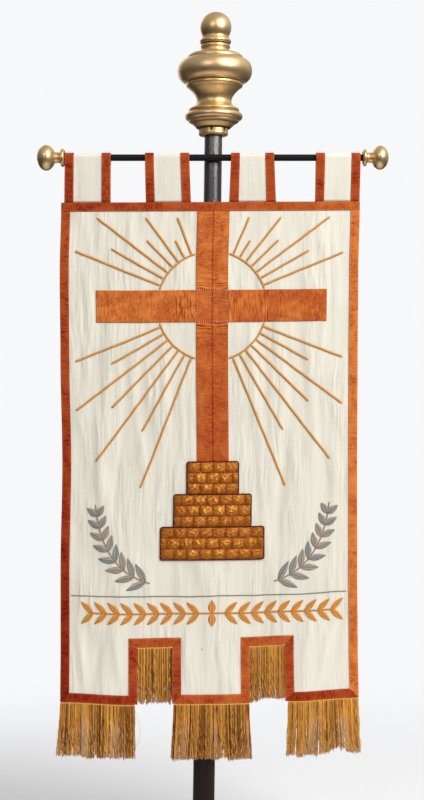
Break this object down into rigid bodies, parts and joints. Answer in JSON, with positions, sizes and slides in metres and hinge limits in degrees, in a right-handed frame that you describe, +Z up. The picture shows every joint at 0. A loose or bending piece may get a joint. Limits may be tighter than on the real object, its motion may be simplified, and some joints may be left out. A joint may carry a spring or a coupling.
{
  "type": "church banner on its crossbar and pole",
  "caption": "Hanging church banner of cream cloth with velvet bindings, an applied cross and gold fringes, looped over a crossbar on a pole with a turned finial.",
  "frame": {"origin": "middle of the flat lower end of the pole", "axes": "+Z up, -Y out of the banner's front, +X to the right of someone who faces the front"},
  "size_m": [0.7031, 0.1502, 1.6822],
  "materials": {
    "gunmetal": "dark polished tube",
    "dark_wood": "near-black stained and waxed",
    "black_paint": "matte black",
    "gilding": "satin gold, rubbed on the high places",
    "cream_silk": "slubbed cream silk over linen",
    "velvet": "orange-rust short-pile velvet",
    "gold_cord": "orange-gold satin stitch",
    "gold_satin": "padded bronze-gold satin",
    "blue_thread": "blue-grey silk thread",
    "gold_bullion": "worn gold fringe"
  },
  "bodies": {
    "root": {"pole": "gunmetal", "pole_sleeve": "dark_wood", "crossbar": "black_paint", "finial": "gilding", "finial_collar": "gilding", "knob_left": "gilding", "knob_right": "gilding", "panel": "cream_silk", "tab_1": "cream_silk", "tab_2": "cream_silk", "tab_3": "cream_silk", "tab_4": "cream_silk", "tab_1_trim_left": "velvet", "tab_1_trim_right": "velvet", "tab_2_trim_left": "velvet", "tab_2_trim_right": "velvet", "tab_3_trim_left": "velvet", "tab_3_trim_right": "velvet", "tab_4_trim_left": "velvet", "tab_4_trim_right": "velvet", "border_top": "velvet", "border_left": "velvet", "border_right": "velvet", "hem_left": "velvet", "hem_middle": "velvet", "hem_right": "velvet", "notch_left_side_a": "velvet", "notch_left_top": "velvet", "notch_left_side_b": "velvet", "notch_right_side_a": "velvet", "notch_right_top": "velvet", "notch_right_side_b": "velvet", "cross_upright": "velvet", "cross_arm_left": "velvet", "cross_arm_right": "velvet", "rays_upper_left": "gold_cord", "rays_upper_right": "gold_cord", "rays_lower_left": "gold_cord", "rays_lower_right": "gold_cord", "leaf_band": "gold_cord", "step_top": "gold_satin", "step_middle": "gold_satin", "step_bottom": "gold_satin", "branch_left": "blue_thread", "branch_right": "blue_thread", "fringe_left": "gold_bullion", "fringe_middle": "gold_bullion", "fringe_right": "gold_bullion", "fringe_notch_left": "gold_bullion", "fringe_notch_right": "gold_bullion"}
  },
  "joints": []
}
